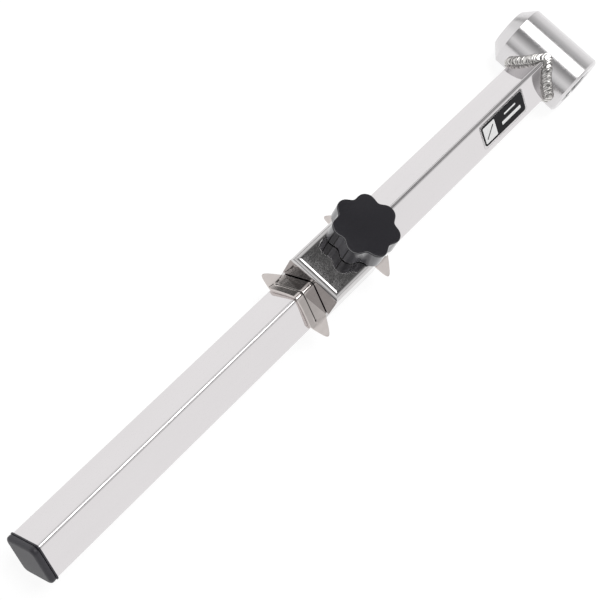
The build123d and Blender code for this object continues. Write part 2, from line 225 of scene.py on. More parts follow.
def mesh_object(name, points, ends, body, material, replaced=(), sharp=35.0, painted_shade_and_tint=None):
    """Makes one object from a grid of points in millimetres, whose rows are closed rings.

    ends is "joined" where the last row joins the first, as on a torus, "capped" where each end row is
    closed by a fan round its middle point, and "folded" where each end row lies flat on itself and is
    closed by merging. Edges of more than sharp degrees are shaded sharp. painted_shade_and_tint is how
    dark each point is marked, from 0 to 1, for the material: painted shade, painted dark reflections and
    the weld's heat tint.
    """
    points = np.asarray(points, float)
    rows, around = points.shape[:2]
    index = np.arange(rows * around).reshape(rows, around)
    lower, upper = index[:-1], index[1:]
    if ends == "joined":
        lower, upper = index, np.roll(index, -1, axis=0)
    quads = np.stack([lower, np.roll(lower, -1, axis=1), np.roll(upper, -1, axis=1), upper], axis=-1)
    vertices = [points.reshape(-1, 3)]
    faces = quads.reshape(-1, 4).tolist()
    if ends == "capped":
        for hub, (end, order) in enumerate(((0, (2, 1, 0)), (-1, (0, 1, 2))), rows * around):
            vertices.append(points[end].mean(0)[None])
            fan = np.stack([index[end], np.roll(index[end], -1), np.full(around, hub)], axis=-1)
            faces.extend(fan[:, order].tolist())
    mesh = bpy.data.meshes.new(name)
    mesh.from_pydata((np.concatenate(vertices) * MM).tolist(), [], faces)
    if painted_shade_and_tint is not None:
        dark = np.zeros(len(mesh.vertices))
        dark[: painted_shade_and_tint.size] = np.clip(painted_shade_and_tint, 0, 1).ravel()
        mesh.attributes.new("painted_shade_and_tint", "FLOAT", "POINT").data.foreach_set("value", dark)
    shape = bmesh.new()
    shape.from_mesh(mesh)
    bmesh.ops.remove_doubles(shape, verts=shape.verts, dist=MERGE_DISTANCE)
    bmesh.ops.recalc_face_normals(shape, faces=shape.faces)
    shape.to_mesh(mesh)
    shape.free()
    mesh.polygons.foreach_set("use_smooth", np.ones(len(mesh.polygons), bool))
    mesh.set_sharp_from_angle(angle=radians(sharp))
    mesh.materials.append(material)
    piece = bpy.data.objects.new(name, mesh)
    bpy.context.scene.collection.objects.link(piece)
    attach(piece, body)
    if replaced:
        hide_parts(*replaced)
    return piece


def arc(centre, radius, start, end, steps):
    """Points on a circle's arc: centre + radius (cos a, sin a), with a from start to end in degrees."""
    angle = np.radians(np.linspace(start, end, steps))
    return np.stack([centre[0] + radius * np.cos(angle), centre[1] + radius * np.sin(angle)], axis=-1)


def rounded_profile(corners, guard=0.2, steps=7):
    """A closed outline through corners of (x, y, radius), each rounded by its radius.

    Every arc has a guard point just outside each end, so that the flats beside it stay flat when they are
    shaded smooth.
    """
    corners = np.asarray(corners, float)
    out = []
    for i, (x, y, radius) in enumerate(corners):
        place = np.array([x, y])
        before = corners[i - 1, :2] - place
        after = corners[(i + 1) % len(corners), :2] - place
        before /= np.linalg.norm(before)
        after /= np.linalg.norm(after)
        half = np.arccos(np.clip(before @ after, -1, 1)) / 2
        reach = radius / np.tan(half)
        middle = place + (before + after) / np.linalg.norm(before + after) * radius / np.sin(half)
        first = place + before * reach - middle
        last = place + after * reach - middle
        start = np.degrees(np.arctan2(first[1], first[0]))
        turn = (np.degrees(np.arctan2(last[1], last[0])) - start + 180) % 360 - 180
        out.append([place + before * (reach + guard)])
        out.append(arc(middle, radius, start, start + turn, steps))
        out.append([place + after * (reach + guard)])
    return np.concatenate(out)


def square_ring(side, radius, steps=7):
    """The outline of a rounded square that stands on its corner, as (y, z) about the arm's middle line."""
    half = side / 2 * np.sqrt(2)
    corners = [(half, 0, radius), (0, half, radius), (-half, 0, radius), (0, -half, radius)]
    return rounded_profile(corners, steps=steps)


def along_arm(x, ring):
    """One row of points: a (y, z) ring about the arm's middle line, at one x or at an x for each point."""
    return np.stack([np.broadcast_to(x, len(ring)), ARM_Y + ring[:, 0], ring[:, 1]], axis=-1)


def turned(radius, y, angle):
    """A surface about the pivot axis. radius and y are columns along it, and radius may change with angle."""
    x = radius * np.cos(angle)
    return np.stack([x, np.broadcast_to(y, x.shape), radius * np.sin(angle)], axis=-1)


def bell(distance, width, power=2):
    """A bell curve: exp(-|distance / width| ^ power)."""
    return np.exp(-(np.abs(distance / width) ** power))


def waves(place, terms):
    """Sine waves along a place, added up. Each term is (height, turn in radians a millimetre, start)."""
    return sum(height * np.sin(place * rate + start) for height, rate, start in terms)


# Materials


def linear(code):
    """An sRGB hex colour, such as "#D8D8D8", as linear red, green, blue and alpha."""
    value = np.array([int(code[i : i + 2], 16) for i in (1, 3, 5)]) / 255
    value = np.where(value <= 0.04045, value / 12.92, ((value + 0.055) / 1.055) ** 2.4)
    return (*value.tolist(), 1.0)


def add(tree, kind, inputs=None, stops=(), **settings):
    """Adds one node with its settings and inputs.

    An input is another node's output, an sRGB hex colour or a plain value. stops are a colour ramp's, as
    (place, grey).
    """
    node = tree.nodes.new(kind)
    for name, value in settings.items():
        setattr(node, name, value)
    for name, value in (inputs or {}).items():
        if isinstance(value, bpy.types.NodeSocket):
            tree.links.new(value, node.inputs[name])
        else:
            node.inputs[name].default_value = linear(value) if isinstance(value, str) else value
    if stops:
        ramp = node.color_ramp.elements
        ramp[0].position, ramp[1].position = stops[0][0], stops[-1][0]
        for position, _ in stops[1:-1]:
            ramp.new(position)
        for element, (_, grey) in zip(ramp, stops):
            element.color = (grey, grey, grey, 1)
    return node


def finish(name, colours, rough, grain_mm, bump_mm, values, painted_shade_and_tint=None):
    """A surface whose colour, roughness and height follow a fine noise, as its making leaves them.

    colours are the dark and light ends of the noise, rough is the range of roughness, grain_mm is the length
    of the noise's periods along X, Y and Z, where unlike lengths draw it out to streaks, and bump_mm is its
    height. Clouds of CLOUD_MM are added to it for colour and roughness. Where the mesh is marked, the colour
    goes over to painted_shade_and_tint, which paints shade and dark reflections, and heat tint on the weld's
    toes.
    """
    made = bpy.data.materials.new(name)
    made.use_nodes = True
    tree = made.node_tree
    tree.nodes.clear()
    shader = add(tree, "ShaderNodeBsdfPrincipled", {"Base Color": colours[1], **values})
    add(tree, "ShaderNodeOutputMaterial", {"Surface": shader.outputs["BSDF"]})
    place = add(tree, "ShaderNodeTexCoord").outputs["Object"]
    noises = []
    for lengths, detail in ((grain_mm, FINE_DETAIL), ((CLOUD_MM,) * 3, CLOUD_DETAIL)):
        per_metre = [1 / (length * MM) for length in lengths]
        vector = add(tree, "ShaderNodeMapping", {"Vector": place, "Scale": per_metre}).outputs["Vector"]
        noise = add(tree, "ShaderNodeTexNoise", {"Vector": vector, "Scale": 1.0, "Detail": detail})
        noises.append(noise.outputs["Fac"])
    both = add(tree, "ShaderNodeMath", {0: noises[0], 1: noises[1]}, operation="ADD").outputs[0]
    ends = {"From Min": BOTH_MIDDLE[0], "From Max": BOTH_MIDDLE[1]}
    share = add(tree, "ShaderNodeMapRange", {"Value": both, **ends}).outputs["Result"]
    ends = {"To Min": rough[0], "To Max": rough[1]}
    roughness = add(tree, "ShaderNodeMapRange", {"Value": share, **ends}).outputs["Result"]
    mixed = {"Factor": share, "A": colours[0], "B": colours[1]}
    colour = add(tree, "ShaderNodeMix", mixed, data_type="RGBA").outputs["Result"]
    if painted_shade_and_tint:
        depth = add(tree, "ShaderNodeAttribute", attribute_name="painted_shade_and_tint").outputs["Fac"]
        mixed = {"Factor": depth, "A": colour, "B": painted_shade_and_tint}
        colour = add(tree, "ShaderNodeMix", mixed, data_type="RGBA").outputs["Result"]
    height = {"Height": noises[0], "Strength": BUMP_STRENGTH, "Distance": bump_mm * MM}
    bump = add(tree, "ShaderNodeBump", height).outputs["Normal"]
    for socket, source in (("Base Color", colour), ("Roughness", roughness), ("Normal", bump)):
        tree.links.new(source, shader.inputs[socket])
    return made


def satin_corners(made):
    """Raises the roughness on the tube's rounded corners, which lie close to one of its two middle planes."""
    tree = made.node_tree
    place = add(tree, "ShaderNodeTexCoord").outputs["Object"]
    place = add(tree, "ShaderNodeSeparateXYZ", {0: place}).outputs
    across = add(tree, "ShaderNodeMath", {0: place["Y"], 1: ARM_Y * MM}, operation="SUBTRACT").outputs[0]
    side = add(tree, "ShaderNodeMath", {0: across}, operation="ABSOLUTE").outputs[0]
    height = add(tree, "ShaderNodeMath", {0: place["Z"]}, operation="ABSOLUTE").outputs[0]
    nearer = add(tree, "ShaderNodeMath", {0: side, 1: height}, operation="MINIMUM").outputs[0]
    satin_end, polish_start = SATIN_HALF_WIDTHS
    ends = {"From Min": satin_end * MM, "From Max": polish_start * MM, "To Min": SATIN_ROUGH, "To Max": 0.0}
    satin = add(tree, "ShaderNodeMapRange", {"Value": nearer, **ends}).outputs["Result"]
    rough = tree.nodes["Principled BSDF"].inputs["Roughness"]
    both = add(tree, "ShaderNodeMath", {0: rough.links[0].from_socket, 1: satin}, operation="ADD")
    tree.links.new(both.outputs[0], rough)


CLOUD_MM = 33.3
CLOUD_DETAIL = 2.0
FINE_DETAIL = 3.0
BUMP_STRENGTH = 0.4
# The middle range of two noises added together
BOTH_MIDDLE = (0.7, 1.3)
# The tube's corners are satin up to the first half width, and polished past the second
SATIN_ROUGH = 0.09
SATIN_HALF_WIDTHS = (0.8, 1.1)
METAL = {"Metallic": 1.0}
# Ink has little gloss of its own under the lacquer, so its IOR is low
PRINT = {"IOR": 1.2}
# Moulds and prints have a texture of 0.1 mm or finer, which is drawn this coarse so that it shows
MOULD_GRAIN = (0.667,) * 3
PRINT_GRAIN = (1.11,) * 3

# Bright-drawn stainless tube, polished: a near mirror, with hardly seen lines along it, drawn 3.3 mm wide
# where real ones are finer. Its corners are satin, so that the ridge shows as one line
drawn_steel = finish(
    "drawn_stainless_steel", ("#DAD7D8", "#DCD9DA"), (0.04, 0.07), (200.0, 3.33, 3.33), 0.0003, METAL
)
satin_corners(drawn_steel)
# Stainless bar, turned and polished: soft-edged reflections, and faint turning lines round the bar. Their
# real pitch of 0.1 mm is drawn as 0.56 mm so that they show
turned_steel = finish(
    "turned_stainless_steel", ("#D6D4D5", "#DCDADB"), (0.18, 0.24), (16.7, 0.556, 16.7), 0.0015, METAL
)
# Stainless weld metal as laid: bright crests, slightly clouded, with painted shade between the ripples
# and dark heat tint along the toes
weld_metal = finish(
    "stainless_weld_metal", ("#C4C1BE", "#E8E6E4"), (0.12, 0.22), (2.0, 2.0, 2.0), 0.02, METAL, "#1E1D1C"
)
# Cold-rolled stainless sheet, pressed and tumbled: nearly a mirror, and slightly uneven over 2 to 4 mm
rolled_steel = finish(
    "rolled_stainless_sheet", ("#C8C6C6", "#D0CECE"), (0.045, 0.065), (4.0, 2.0, 2.0), 0.001, METAL
)
# The shoe's sheet is warmer and flatter, with painted shade in its scored lines and their pits
shoe_steel = finish(
    "pressed_stainless_sheet", ("#CDC6C3", "#D5CECB"), (0.04, 0.07), (4.0, 2.0, 2.0), 0.0005, METAL, "#2E2C2A"
)
# Free-cutting steel, turned and left plain: grey, with tool marks drawn 0.8 mm apart so that they show
machined_steel = finish(
    "machined_steel", ("#8F8F8F", "#B4B4B4"), (0.22, 0.36), (5.0, 0.833, 5.0), 0.006, METAL
)
# Spring steel, hardened and oiled: dark and soft in its gloss
spring_steel = finish(
    "oiled_spring_steel", ("#3E3E40", "#5E5E60"), (0.28, 0.42), (2.5, 2.5, 2.5), 0.006, METAL
)
# Sintered bronze, full of oil: brown gold, dull from pores that are drawn 0.8 mm wide so that they show
bronze = finish(
    "sintered_bronze", ("#8D6536", "#B98B55"), (0.32, 0.48), (0.833, 0.833, 0.833), 0.015, METAL
)
# Free-cutting brass, turned: yellow, with tool marks across the screw's axis
brass = finish(
    "turned_brass", ("#B48F4A", "#D9B56B"), (0.20, 0.34), (5.0, 5.0, 0.667), 0.008, METAL
)
# Glass-filled nylon from a polished mould: nearly black, with a soft gloss
knob_nylon = finish(
    "moulded_black_nylon", ("#242328", "#29282D"), (0.10, 0.14), MOULD_GRAIN, 0.002, {"IOR": 1.5}
)
# The knob's sides: paler and glossier than the top, a painted reflection, with painted dark reflections
# in lines up the side
knob_side_painted_reflection = finish(
    "black_nylon_painted_reflection",
    ("#5E5D62", "#6A696E"),
    (0.10, 0.16),
    MOULD_GRAIN,
    0.002,
    {"IOR": 1.53, "Coat Weight": 0.6},
    "#0B0B0D",
)
# Black polyethylene from an etched mould: waxy, with wide dull highlights
cap_plastic = finish(
    "moulded_polyethylene", ("#2B2A30", "#343239"), (0.40, 0.52), MOULD_GRAIN, 0.012, {"IOR": 1.51}
)
# Nitrile rubber cord: black and matt
ring_rubber = finish(
    "nitrile_rubber", ("#101011", "#171718"), (0.55, 0.70), MOULD_GRAIN, 0.012, {"IOR": 1.52}
)
# Vinyl inks, printed: even and dull, dark on the field and light on the panel
print_black = finish("black_print", ("#1C1C1E", "#222225"), (0.30, 0.40), PRINT_GRAIN, 0.002, PRINT)
print_white = finish("white_print", ("#F4F4F4", "#FAFAFA"), (0.30, 0.40), PRINT_GRAIN, 0.002, PRINT)
# Clear vinyl lacquer over the print: a glossy skin that lets the inks through
clear_film = finish(
    "clear_label_film",
    ("#F4F4F4", "#FAFAFA"),
    (0.10, 0.16),
    PRINT_GRAIN,
    0.002,
    {"IOR": 1.25, "Transmission Weight": 1.0},
)

node_finish = {
    "arm_tube": drawn_steel,
    "pivot_barrel": turned_steel,
    "weld_bead": weld_metal,
    "end_cap": cap_plastic,
    "label_film": clear_film,
    "label_print": print_black,
    "label_panel": print_white,
    "nose_bush": bronze,
    "drive_plug": machined_steel,
    "spindle": machined_steel,
    "friction_ring": ring_rubber,
    "spindle_clip": spring_steel,
    "guide_ring": bronze,
    "slider_strap": rolled_steel,
    "clamp_nut": machined_steel,
    "clamp_shoe": shoe_steel,
    "swivel_cup": machined_steel,
    "knob": knob_nylon,
    "knob_insert": brass,
    "clamp_stud": machined_steel,
}
for node_name, node_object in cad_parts.items():
    node_object.data.materials.clear()
    node_object.data.materials.append(node_finish[node_name])


# The arm


def arm_tube():
    """A rounded square carried along X, from the barrel to the cap and back inside, closed at both ends.

    Each point starts on the barrel's cylinder, at x = sqrt(radius squared - z squared).
    """
    outer = square_ring(TUBE_SIDE, TUBE_CORNER)
    inner = square_ring(TUBE_SIDE - 2 * TUBE_WALL, TUBE_CORNER - TUBE_WALL)
    rows = []
    for ring, places in ((outer, np.linspace(1, 0, 9)), (inner, np.linspace(0, 1, 9))):
        start = np.sqrt((BARREL_RADIUS + JOINT_GAP) ** 2 - ring[:, 1] ** 2)
        rows.extend(along_arm(start + (ARM_END - start) * place, ring) for place in places)
    mesh_object("arm_tube_drawn", rows, "joined", "arm", drawn_steel, ["arm_tube"])


def pivot_barrel():
    """A ring section turned about the pivot axis: chamfered nose, body, drive end and stepped bore."""
    body = BARREL_RADIUS
    corners = [
        (NOSE_BORE, 0, 0.3),
        (body - NOSE_CHAMFER, 0, 0.25),
        (body, NOSE_CHAMFER, 0.25),
        (body, BARREL_LENGTH - DRIVE_CHAMFER, 0.15),
        (body - DRIVE_CHAMFER, BARREL_LENGTH, 0.15),
        (CHAMBER_BORE, BARREL_LENGTH, 0.2),
        (CHAMBER_BORE, CHAMBER_FRONT, 0.1),
        (NOSE_BORE, CHAMBER_FRONT, 0.1),
    ]
    section = rounded_profile(corners, steps=4)
    rows = turned(section[:, :1], section[:, 1:], np.linspace(0, TAU, 192, endpoint=False))
    mesh_object("pivot_barrel_turned", rows, "joined", "arm", turned_steel, ["pivot_barrel"])


def weld_bead():
    """A rippled roll that fills the corner between tube and barrel, all round the tube.

    A section is an arc about a point WELD_REACH off both surfaces, given as a, its distance out from the
    tube, and b, its distance out from the barrel, and it is closed by one point at the root. Its radius
    swells by RIPPLE_HEIGHT times a scale of (1 - |2f - 1| ^ RIPPLE_POWER)(1 - RIPPLE_FALL f), where f is the
    place between two ripples. f is taken along the seam plus a bow, so that each ripple is a crescent, and
    plus slow waves, so that no two are alike. A bell curve lowers the roll over the tube's ridge and keel.
    The metal is marked with painted shade in the valleys, where the scale is small, and with dark heat
    tint along both toes.
    """
    base = square_ring(TUBE_SIDE, TUBE_CORNER, 15)
    outward = square_ring(TUBE_SIDE + 2, TUBE_CORNER + 1, 15) - base
    seam = np.stack([np.sqrt(BARREL_RADIUS**2 - base[:, 1] ** 2), *(base + outward).T], axis=-1)
    step = np.linalg.norm(np.diff(seam, axis=0, append=seam[:1]), axis=1)
    place = np.concatenate([[0], np.cumsum(step)])
    length = place[-1]
    ripples = round(length / RIPPLE_PITCH)
    along = np.linspace(0, length, ripples * RIPPLE_STEPS, endpoint=False)[:, None]
    loop = [np.interp(along, place, np.append(values, values[0])) for values in (*base.T, *outward.T)]
    side, height, side_way, height_way = loop

    turn = np.radians(np.linspace(*WELD_ARC, 25))
    bow = BOW_RADIUS - np.sqrt(np.clip(BOW_RADIUS**2 - (BOW_ROLL * (turn - TAU / 8)) ** 2, 0, None))
    fraction = ((along + bow) / length * ripples + waves(along, RIPPLE_WANDER)) % 1
    scale = (1 - np.abs(2 * fraction - 1) ** RIPPLE_POWER) * (1 - RIPPLE_FALL * fraction)
    saddle = 1 - SADDLE_DEPTH * bell(side, SADDLE_WIDTH)
    roll = (WELD_ROLL + waves(along, WELD_SWELL)) * saddle + RIPPLE_HEIGHT * scale
    root = np.full_like(along, -JOINT_GAP)
    a = np.concatenate([WELD_REACH + roll * np.cos(turn), root], axis=1)
    b = np.concatenate([WELD_REACH + roll * np.sin(turn), root], axis=1)
    y = side + side_way * a
    z = height + height_way * a
    x = np.sqrt(BARREL_RADIUS**2 - z**2) + b

    # Painted shade in the valleys between ripples, uneven along the seam; the toes' band is heat tint
    uneven = 0.55 + 0.45 * np.sin(along * 0.9) ** 2
    painted_valley_shade = np.clip(VALLEY_SHADE - VALLEY_FADE * scale, 0, 1) * uneven
    toes = TOE_SHADE * (bell(turn - turn[0], TOE_WIDTH) + bell(turn - turn[-1], TOE_WIDTH))
    painted_shade_and_tint = np.concatenate([np.maximum(painted_valley_shade, toes), np.ones_like(along)], axis=1)
    rows = np.stack([x, ARM_Y + y, z], axis=-1)
    mesh_object("weld_bead_rippled", rows, "joined", "arm", weld_metal, ["weld_bead"], 80.0, painted_shade_and_tint=painted_shade_and_tint)


def end_cap():
    """A loft of rounded squares: ribbed hollow plug in the tube, neck, groove, and a flange with round edges.

    Each square is given as (place along the arm, side, corner radius). The groove's lip and the face's edge
    are quarter circles: place and side go as the sine and cosine of an angle from 0 to 90 degrees.
    """
    inside = CAP_PLUG_SIDE - 2 * CAP_PLUG_WALL
    squares = [
        (ARM_END, inside, CAP_BORE_CORNER),
        (CAP_FOOT, inside, CAP_BORE_CORNER),
        (CAP_FOOT, CAP_PLUG_SIDE, CAP_PLUG_CORNER),
    ]
    for rib in range(CAP_RIBS):
        front = CAP_FOOT + CAP_RIB_START + rib * CAP_RIB_PITCH
        sides = (CAP_PLUG_SIDE, CAP_RIB_SIDE, CAP_RIB_SIDE, CAP_PLUG_SIDE)
        squares += [(front + step, side, CAP_PLUG_CORNER) for step, side in zip(CAP_RIB_STEPS, sides)]
    groove_x = ARM_END + CAP_GROOVE_X
    squares += [
        (ARM_END, CAP_PLUG_SIDE, CAP_PLUG_CORNER),
        (ARM_END, CAP_SIDE - 0.8, 1.6),
        (ARM_END + 0.2, CAP_NECK_SIDE, CAP_NECK_CORNER),
        (ARM_END + 0.8, CAP_NECK_SIDE, CAP_NECK_CORNER),
        (groove_x, CAP_GROOVE_SIDE, CAP_NECK_CORNER),
    ]
    for angle in np.radians((0, 30, 60, 90)):
        place = groove_x + CAP_GROOVE_LENGTH * (1 - np.cos(angle))
        squares.append((place, CAP_GROOVE_SIDE + (CAP_SIDE - CAP_GROOVE_SIDE) * np.sin(angle), CAP_CORNER))
    for angle in np.radians(np.linspace(0, 90, 8)):
        inset = CAP_ROUND * (1 - np.cos(angle))
        place = CAP_FACE - CAP_ROUND * (1 - np.sin(angle))
        squares.append((place, CAP_SIDE - 2 * inset, CAP_CORNER - 0.5 * inset))
    squares += [(CAP_FACE, CAP_SIDE - 2 * CAP_ROUND - 0.6, 1.6), (CAP_FACE - 0.05, 4.0, 0.8)]
    rows = [along_arm(x, square_ring(side, radius)) for x, side, radius in squares]
    mesh_object("end_cap_moulded", rows, "capped", "arm", cap_plastic, ["end_cap"])


arm_tube()
pivot_barrel()
weld_bead()
end_cap()


# The spindle


def spindle():
    """A shape turned about the pivot axis: hex socket, grooved shank and collar, shaft and threaded tip.

    The socket's radius is its half width over the cosine of the angle from the nearest flat's middle. The
    tip's radius falls by THREAD_DEPTH |2f - 1|, where f is the place along the axis in pitches plus the turn,
    so that the thread is a right-hand helix.
    """
    crisp, eased, soft = 0.08, 0.15, 0.2
    front, rear = low_high("spindle", 1)
    collar_rear = COLLAR_FRONT + COLLAR_LENGTH
    ring_y = (COLLAR_FRONT + collar_rear) / 2
    clip_rear = CLIP_FRONT + CLIP_LENGTH
    corners = [
        (SOCKET_FLATS / 2, rear - SOCKET_DEPTH, 0.02),
        (SOCKET_FLATS / 2, rear, eased),
        (SHANK_RADIUS - TIP_CHAMFER, rear, eased),
        (SHANK_RADIUS, rear - TIP_CHAMFER, eased),
        (SHANK_RADIUS, clip_rear, crisp),
        (SHANK_RADIUS - CLIP_GROOVE, clip_rear, crisp),
        (SHANK_RADIUS - CLIP_GROOVE, CLIP_FRONT, crisp),
        (SHANK_RADIUS, CLIP_FRONT, crisp),
        (SHANK_RADIUS, collar_rear, soft),
        (COLLAR_RADIUS, collar_rear, soft),
        (COLLAR_RADIUS, ring_y + RING_CORD, crisp),
        (COLLAR_GROOVE, ring_y + RING_CORD, crisp),
        (COLLAR_GROOVE, ring_y - RING_CORD, crisp),
        (COLLAR_RADIUS, ring_y - RING_CORD, crisp),
        (COLLAR_RADIUS, COLLAR_FRONT, soft),
        (SHAFT_RADIUS, COLLAR_FRONT, soft),
        (SHAFT_RADIUS, TIP_REAR, eased),
        (TIP_RADIUS, TIP_REAR, crisp),
        (TIP_RADIUS, front, crisp),
    ]
    # The outline starts on the socket's floor and stops where the thread takes over
    outline = rounded_profile(corners, guard=0.05, steps=3)[1:-5]
    angle = np.linspace(0, TAU, 96, endpoint=False)
    in_socket = (outline[:, :1] < SOCKET_FLATS * 0.6) & (outline[:, 1:] > CLIP_FRONT)
    hexagon = 1 / np.cos((angle + TAU / 12) % (TAU / 6) - TAU / 12)
    radius = outline[:, :1] * np.where(in_socket, hexagon, 1)

    thread_rear = TIP_REAR - THREAD_GAP
    y = np.linspace(thread_rear, front, 120)[:, None]
    runout = np.clip((thread_rear - y) / THREAD_RUNOUT, 0, 1)
    fraction = (y / THREAD_PITCH + angle / TAU) % 1
    thread = TIP_RADIUS - THREAD_DEPTH * runout * np.abs(2 * fraction - 1)
    thread = np.minimum(thread, TIP_RADIUS - TIP_CHAMFER + y - front)

    rows = turned(np.concatenate([radius, thread]), np.concatenate([outline[:, 1:], y]), angle)
    mesh_object("spindle_threaded", rows, "capped", "spindle", machined_steel, ["spindle"], 50.0)


spindle()


# The label


def label_bar(name, centre, size, turn, material, slot):
    """A thin rounded rectangle on the arm's upper right face, turned in the face's plane.

    Its rows go up from the print, and the last one steps in. A place down the face moves a point outwards and
    down alike, by its share on each of the two axes.
    """
    centre = np.array(centre)
    half_x, half_down = size[0] / 2, size[1] / 2
    signs = ((1, 1), (-1, 1), (-1, -1), (1, -1))
    corners = [(x * half_x, down * half_down, BAR_CORNER) for x, down in signs]
    ring = rounded_profile(corners, guard=0.05, steps=5)
    cos, sin = np.cos(radians(turn)), np.sin(radians(turn))
    ring = ring @ np.array([[cos, sin], [-sin, cos]])
    rows = []
    for inset, rise in ((0, 0), (0, BAR_THICKNESS * 0.6), (BAR_EDGE, BAR_THICKNESS)):
        out = FACE_REACH + (BAR_HEIGHT + rise) / np.sqrt(2)
        x, down = (ring * (1 - inset / min(size)) + centre).T
        down = down / np.sqrt(2)
        rows.append(np.stack([x, ARM_Y + out + down, out - down], axis=-1)[::-1])
    mesh_object(name, rows, "capped", "arm", material)


# Light bars stand on the label's dark field, and one dark bar crosses its light panel
for bar in LIGHT_BARS:
    label_bar(*bar, print_white, "print_white")
for bar in DARK_BARS:
    label_bar(*bar, print_black, "print_black")


# Slider and knob


def knob():
    """A lobed star whose radius is the mean of crest and valley plus half their difference times a wave.

    The wave is cos na - KNOB_BROADEN cos 2na, for n lobes, which broadens the crests. The star is lofted from
    its bore and recess, across its underside and up its side, over a quarter-round rim to its flat top. The
    side is marked with painted dark reflections by bell curves of the angle, and has a paler finish of its
    own, a painted reflection.
    """
    angle = np.linspace(0, TAU, KNOB_LOBES * 72, endpoint=False)
    wave = np.cos(KNOB_LOBES * (angle - radians(KNOB_TURN)))
    wave = wave - KNOB_BROADEN * np.cos(2 * np.arccos(wave))
    star = (KNOB_CREST + KNOB_VALLEY) / 2 + (KNOB_CREST - KNOB_VALLEY) / 2 * wave
    circle = np.ones_like(angle)
    loft = [
        (INSERT_RADIUS * circle, INSERT_TOP),
        (INSERT_RADIUS * circle, INSERT_BOTTOM),
        (KNOB_RECESS * circle, INSERT_BOTTOM),
        (KNOB_RECESS * circle, KNOB_BOTTOM + RECESS_CHAMFER),
        ((KNOB_RECESS + RECESS_CHAMFER) * circle, KNOB_BOTTOM),
        (KNOB_FOOT_SHARE * star, KNOB_BOTTOM),
    ]
    for up in np.radians((0, 30, 60, 90)):
        rise = KNOB_FOOT_ROUND * (1 - np.cos(up))
        loft.append((star - KNOB_FOOT_ROUND * (1 - np.sin(up)), KNOB_BOTTOM + rise))
    side_low = KNOB_BOTTOM + KNOB_FOOT_ROUND + KNOB_GUARD
    side_high = KNOB_TOP - KNOB_ROUND - KNOB_GUARD
    loft += [(star, z) for z in np.linspace(side_low, side_high, 5)]
    for up in np.radians(np.linspace(0, 90, 7)):
        drop = KNOB_ROUND * (1 - np.sin(up))
        loft.append((star - KNOB_ROUND * (1 - np.cos(up)), KNOB_TOP - drop))
    loft += [(star * share - KNOB_ROUND, KNOB_TOP) for share in (0.97, 0.8, 0.5, 0.2)]
    radius, z = (np.stack([np.broadcast_to(row[i], angle.shape) for row in loft]) for i in (0, 1))
    rows = np.stack([SCREW_X + radius * np.cos(angle), ARM_Y + radius * np.sin(angle), z], axis=-1)

    # Painted dark reflections in lines up the side
    dark = np.zeros_like(angle)
    for line, half_width, darkness in KNOB_PAINTED_REFLECTION_LINES:
        away = (np.degrees(angle) - line + 180) % 360 - 180
        dark = np.maximum(dark, darkness * bell(away, half_width, 4))
    painted_shade_and_tint = np.broadcast_to(dark, z.shape)
    piece = mesh_object("knob_moulded", rows, "capped", "knob", knob_nylon, ["knob"], painted_shade_and_tint=painted_shade_and_tint)
    # The side faces take the paler finish, a painted reflection
    piece.data.materials.append(knob_side_painted_reflection)
    upright = np.abs([face.normal.z for face in piece.data.polygons]) < SIDE_NORMAL
    piece.data.polygons.foreach_set("material_index", upright.astype(np.int32))


knob()


def shoe_line(across):
    """The height of the shoe's middle surface over its ridge line, at places across the arm.

    A round bend joins two flanks, and at EAR_BEND_Y each flank goes over to the flatter ear.
    """
    across = np.abs(across)
    bend_edge = SHOE_BEND * np.sin(radians(SHOE_SLOPE))
    circle = np.sqrt(SHOE_BEND**2 - np.minimum(across, bend_edge) ** 2) - SHOE_BEND
    flank = np.clip(across, bend_edge, EAR_BEND_Y) - bend_edge
    ear = np.maximum(across, EAR_BEND_Y) - EAR_BEND_Y
    return circle - flank * np.tan(radians(SHOE_SLOPE)) - ear * np.tan(radians(EAR_SLOPE))


